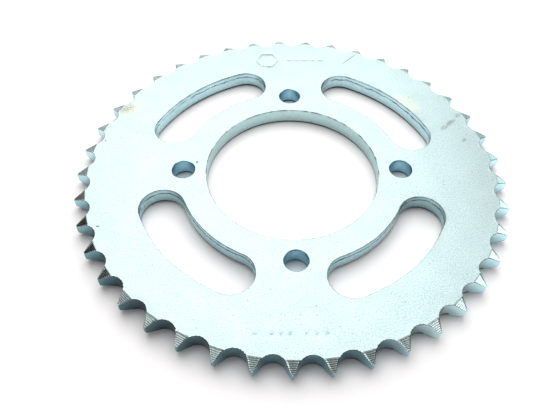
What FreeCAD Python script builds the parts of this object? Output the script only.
"""Rear chain sprocket: one blanked, turned and drilled steel plate with a toothed rim.

The plate lies in XY with its hub face at Z = 0, its outer face at Z = plate_thickness and the
axis of its hub bore on Z. The four bolt holes stand on the X and Y axes. Millimetres.
"""

import FreeCAD, Part
import math
import os

import Sketcher

NODE = "sprocket_plate"
PARTS_FOLDER = "parts"

# alias: (value, what it measures). Lengths are in millimetres, turns and sweeps in degrees.
DRIVING_DIMENSIONS = {
    "chain_pitch": (12.7, "pin to pin distance of a 428 roller chain"),
    "roller_diameter": (8.51, "roller of a 428 chain, which sets the depth of the tooth gaps"),
    "tooth_count": (41, "teeth round the rim"),
    "tooth_turn": (4.92, "direction of the first tooth, anticlockwise from +X"),
    "seat_radius": (4.7, "radius of the round bottom of a tooth gap"),
    "tip_diameter": (169.2, "across the tooth tips, as turned"),
    "tip_land": (0.9, "width of the flat left on each tooth tip"),
    "plate_thickness": (6.8, "gauge of the plate"),
    "bevel_diameter": (160.6, "circle where the turned bevel on each face begins"),
    "bevel_depth": (1.85, "how far the bevel has dropped from its face at the tip circle"),
    "bore_diameter": (68.0, "hub bore"),
    "bolt_circle_diameter": (86.0, "circle through the bolt hole centres"),
    "bolt_hole_diameter": (9.0, "clearance hole for an M8 hub bolt"),
    "bolt_count": (4, "bolt holes, the first on +X"),
    "slot_inner_radius": (44.6, "inner edge of the lightening slots"),
    "slot_outer_radius": (61.6, "outer edge of the lightening slots"),
    "slot_sweep": (61.6, "angle from one end of a slot to the other"),
    "slot_turn": (42.8, "direction of the middle of the first slot, anticlockwise from +X"),
    "slot_count": (4, "lightening slots"),
}

# Expressions that sketches share, worked out from the driving dimensions.
HALF_PITCH_ANGLE = "(180 deg / Dimensions.tooth_count)"
ROOT_RADIUS = f"((Dimensions.chain_pitch / sin({HALF_PITCH_ANGLE}) - Dimensions.roller_diameter) / 2)"
TIP_RADIUS = "(Dimensions.tip_diameter / 2)"
CORNER_ANGLE = f"({HALF_PITCH_ANGLE} - asin(Dimensions.tip_land / Dimensions.tip_diameter))"
SLOT_END_RADIUS = "((Dimensions.slot_outer_radius - Dimensions.slot_inner_radius) / 2)"
SLOT_MIDDLE_RADIUS = "((Dimensions.slot_outer_radius + Dimensions.slot_inner_radius) / 2)"
SLOT_END_ANGLE = f"(Dimensions.slot_sweep * 0.5 deg - asin({SLOT_END_RADIUS} / {SLOT_MIDDLE_RADIUS}))"

# How far a tooth gap's outline runs past the tip circle, so that it cuts cleanly off the rim.
OVERRUN = 2.0

# Sketcher's numbers for its horizontal axis and for the points of an edge.
X_AXIS = -1
START, END, CENTRE = 1, 2, 3

# How closely a cut's volume has to agree with what it should remove, as a share of that volume.
VOLUME_TOLERANCE = 1e-4


def make_dimension_sheet(doc):
    """Write each driving dimension in a cell with its alias, between its name and a note."""
    sheet = doc.addObject("Spreadsheet::Sheet", "Dimensions")
    for row, (alias, (value, note)) in enumerate(DRIVING_DIMENSIONS.items(), start=1):
        sheet.set(f"A{row}", alias)
        sheet.set(f"B{row}", str(value))
        sheet.setAlias(f"B{row}", alias)
        sheet.set(f"C{row}", note)
    doc.recompute()
    return sheet


def origin_feature(body, role):
    """Find one of the body's own origin planes or axes by its role."""
    return next(feature for feature in body.Origin.OriginFeatures if feature.Role == role)


def make_sketch(body, name, plane_role):
    """Put a sketch on one of the body's own origin planes."""
    sketch = body.newObject("Sketcher::SketchObject", name)
    sketch.AttachmentSupport = [(origin_feature(body, plane_role), "")]
    sketch.MapMode = "FlatFace"
    return sketch


def turn_sketch(sketch, angle):
    """Turn a sketch about the plate's axis by an angle read from the sheet."""
    sketch.setExpression("AttachmentOffset.Rotation.Angle", angle)


def add_line(sketch, start, end):
    """Draw a straight edge between two rough places, which the constraints then settle."""
    return sketch.addGeometry(Part.LineSegment(FreeCAD.Vector(*start, 0), FreeCAD.Vector(*end, 0)))


def add_arc(sketch, centre, radius, start_degrees, end_degrees):
    """Draw a rough arc, anticlockwise from one angle to the other."""
    circle = Part.Circle(FreeCAD.Vector(*centre, 0), FreeCAD.Vector(0, 0, 1), radius)
    return sketch.addGeometry(
        Part.ArcOfCircle(circle, math.radians(start_degrees), math.radians(end_degrees))
    )


def relate(sketch, *constraints):
    """Add geometric constraints, such as Coincident or Tangent."""
    for constraint in constraints:
        sketch.addConstraint(Sketcher.Constraint(*constraint))


def drive(sketch, name, expression, *constraint):
    """Add one named dimension and bind it to the sheet."""
    rough_value = 1.0
    index = sketch.addConstraint(Sketcher.Constraint(*constraint, rough_value))
    sketch.renameConstraint(index, name)
    sketch.setExpression(f"Constraints.{name}", expression)


def join_in_turn(sketch, edges):
    """Join the end of each straight edge to the start of the next."""
    for edge, following in zip(edges, edges[1:]):
        relate(sketch, ("Coincident", edge, END, following, START))


def draw_blank_section(body):
    """Half section of the turned blank: two flat faces, the bore and a bevel on either side."""
    sketch = make_sketch(body, "BlankSection", "XZ_Plane")
    bore, bevel, tip, drop, top = 34, 80, 84, 2, 7
    hub_face = add_line(sketch, (bore, 0), (bevel, 0))
    hub_bevel = add_line(sketch, (bevel, 0), (tip, drop))
    tip_wall = add_line(sketch, (tip, drop), (tip, top - drop))
    outer_bevel = add_line(sketch, (tip, top - drop), (bevel, top))
    outer_face = add_line(sketch, (bevel, top), (bore, top))
    bore_wall = add_line(sketch, (bore, top), (bore, 0))
    join_in_turn(sketch, [hub_face, hub_bevel, tip_wall, outer_bevel, outer_face, bore_wall, hub_face])
    relate(
        sketch,
        ("PointOnObject", hub_face, START, X_AXIS),
        ("Horizontal", hub_face),
        ("Horizontal", outer_face),
        ("Vertical", tip_wall),
        ("Vertical", bore_wall),
        ("Vertical", hub_face, END, outer_face, START),
        ("Equal", hub_bevel, outer_bevel),
    )
    drive(sketch, "bore_radius", "Dimensions.bore_diameter / 2", "DistanceX", hub_face, START)
    drive(sketch, "bevel_radius", "Dimensions.bevel_diameter / 2", "DistanceX", hub_face, END)
    drive(sketch, "tip_radius", TIP_RADIUS, "DistanceX", tip_wall, START)
    drive(sketch, "bevel_drop", "Dimensions.bevel_depth", "DistanceY", tip_wall, START)
    drive(sketch, "thickness", "Dimensions.plate_thickness", "DistanceY", outer_face, START)
    return sketch


def draw_tooth_gap(body):
    """Gap between two teeth: a round roller seat, straight flanks and an overrun past the tips."""
    sketch = make_sketch(body, "ToothGap", "XY_Plane")
    turn_sketch(sketch, f"Dimensions.tooth_turn * 1 deg + {HALF_PITCH_ANGLE}")
    seat = add_arc(sketch, (83.4, 0), 4.7, 115, 245)
    left_flank = add_line(sketch, (81, 4), (84, 6))
    left_run = add_line(sketch, (84, 6), (86, 6.1))
    closing = add_line(sketch, (86, 6.1), (86, -6.1))
    right_run = add_line(sketch, (86, -6.1), (84, -6))
    right_flank = add_line(sketch, (84, -6), (81, -4))
    join_in_turn(sketch, [left_flank, left_run, closing, right_run, right_flank])
    relate(
        sketch,
        ("Tangent", seat, START, left_flank, START),
        ("Tangent", seat, END, right_flank, END),
        ("PointOnObject", seat, CENTRE, X_AXIS),
        ("Symmetric", left_flank, END, right_flank, START, X_AXIS),
        ("Symmetric", closing, START, closing, END, X_AXIS),
    )
    overrun_radius = f"({TIP_RADIUS} + {OVERRUN})"
    drive(sketch, "seat_radius", "Dimensions.seat_radius", "Radius", seat)
    drive(sketch, "seat_centre", f"{ROOT_RADIUS} + Dimensions.seat_radius", "DistanceX", seat, CENTRE)
    drive(sketch, "corner_x", f"{TIP_RADIUS} * cos({CORNER_ANGLE})", "DistanceX", left_flank, END)
    drive(sketch, "corner_y", f"{TIP_RADIUS} * sin({CORNER_ANGLE})", "DistanceY", left_flank, END)
    drive(sketch, "overrun_x", f"{overrun_radius} * cos({CORNER_ANGLE})", "DistanceX", left_run, END)
    drive(sketch, "overrun_y", f"{overrun_radius} * sin({CORNER_ANGLE})", "DistanceY", left_run, END)
    return sketch


def draw_bolt_hole(body):
    """First bolt hole, on +X."""
    sketch = make_sketch(body, "BoltHole", "XY_Plane")
    circle = Part.Circle(FreeCAD.Vector(43, 0, 0), FreeCAD.Vector(0, 0, 1), 4.5)
    hole = sketch.addGeometry(circle)
    relate(sketch, ("PointOnObject", hole, CENTRE, X_AXIS))
    drive(sketch, "hole_place", "Dimensions.bolt_circle_diameter / 2", "DistanceX", hole, CENTRE)
    drive(sketch, "hole_diameter", "Dimensions.bolt_hole_diameter", "Diameter", hole)
    return sketch


def draw_slot(body):
    """First lightening slot: two arcs about the plate's axis, closed by full round ends."""
    sketch = make_sketch(body, "LighteningSlot", "XY_Plane")
    turn_sketch(sketch, "Dimensions.slot_turn * 1 deg")
    outer_edge = add_arc(sketch, (0, 0), 61.6, -22, 22)
    left_end = add_arc(sketch, (49, 20), 8.5, 22, 202)
    inner_edge = add_arc(sketch, (0, 0), 44.6, -22, 22)
    right_end = add_arc(sketch, (49, -20), 8.5, 158, 338)
    relate(
        sketch,
        ("Coincident", outer_edge, CENTRE, X_AXIS, START),
        ("Coincident", inner_edge, CENTRE, X_AXIS, START),
        ("Tangent", outer_edge, END, left_end, START),
        ("Tangent", left_end, END, inner_edge, END),
        ("Tangent", inner_edge, START, right_end, START),
        ("Tangent", right_end, END, outer_edge, START),
        ("Vertical", left_end, CENTRE, right_end, CENTRE),
    )
    drive(sketch, "outer_radius", "Dimensions.slot_outer_radius", "Radius", outer_edge)
    drive(sketch, "inner_radius", "Dimensions.slot_inner_radius", "Radius", inner_edge)
    end_height = f"{SLOT_MIDDLE_RADIUS} * sin({SLOT_END_ANGLE})"
    drive(sketch, "end_height", end_height, "DistanceY", left_end, CENTRE)
    return sketch


def revolve_blank(doc, body):
    """Turn the section a full circle about the plate's axis."""
    blank = body.newObject("PartDesign::Revolution", "Blank")
    blank.Profile = draw_blank_section(body)
    blank.ReferenceAxis = (origin_feature(body, "Z_Axis"), [""])
    blank.Angle = 360
    doc.recompute()
    return blank


def cut_round_the_plate(doc, body, name, sketch, count):
    """Cut one opening right through the plate and repeat it round the axis, count times."""
    volume_before = body.Tip.Shape.Volume
    pocket = body.newObject("PartDesign::Pocket", name)
    pocket.Profile = sketch
    pocket.Type = "ThroughAll"
    pocket.Reversed = True
    doc.recompute()
    one_opening = volume_before - pocket.Shape.Volume

    pattern = body.newObject("PartDesign::PolarPattern", f"{name}Pattern")
    pattern.Originals = [pocket]
    pattern.Axis = (origin_feature(body, "Z_Axis"), [""])
    pattern.Angle = 360
    pattern.setExpression("Occurrences", count)
    body.Tip = pattern
    doc.recompute()

    all_openings = volume_before - pattern.Shape.Volume
    expected = one_opening * pattern.Occurrences
    if one_opening <= 0 or abs(all_openings - expected) > expected * VOLUME_TOLERANCE:
        raise RuntimeError(f"{name} removed {all_openings:.1f} mm3 instead of {expected:.1f} mm3")


def make_sprocket_plate(doc):
    """Build the plate: turned blank, tooth gaps, bolt holes and lightening slots."""
    body = doc.addObject("PartDesign::Body", "SprocketPlate")
    body.Label = NODE
    body.Placement = FreeCAD.Placement(FreeCAD.Vector(0, 0, 0), FreeCAD.Rotation())
    body.Tip = revolve_blank(doc, body)
    cut_round_the_plate(doc, body, "ToothGaps", draw_tooth_gap(body), "Dimensions.tooth_count")
    cut_round_the_plate(doc, body, "BoltHoles", draw_bolt_hole(body), "Dimensions.bolt_count")
    cut_round_the_plate(doc, body, "Slots", draw_slot(body), "Dimensions.slot_count")
    return body


def check_document(doc, bodies):
    """Stop if any object failed to compute, or if a body's shape is empty or not valid."""
    for item in doc.Objects:
        if "Invalid" in item.State or "Error" in item.State:
            raise RuntimeError(f"{item.Name} is {item.State}")
    for body in bodies:
        if body.Shape.isNull() or not body.Shape.isValid():
            raise RuntimeError(f"{body.Label} has no valid shape")


def export_bodies(bodies):
    """Write each body's shape to a STEP file named after its label."""
    os.makedirs(PARTS_FOLDER, exist_ok=True)
    for body in bodies:
        body.Shape.exportStep(os.path.join(PARTS_FOLDER, f"{body.Label}.step"))
        box = body.Shape.BoundBox
        print(f"{body.Label}: {box.XLength:.2f} x {box.YLength:.2f} x {box.ZLength:.2f} mm")


def main():
    """Build, check and write the sprocket."""
    doc = FreeCAD.newDocument("RearSprocket")
    make_dimension_sheet(doc)
    bodies = [make_sprocket_plate(doc)]
    doc.recompute()
    check_document(doc, bodies)
    export_bodies(bodies)


main()
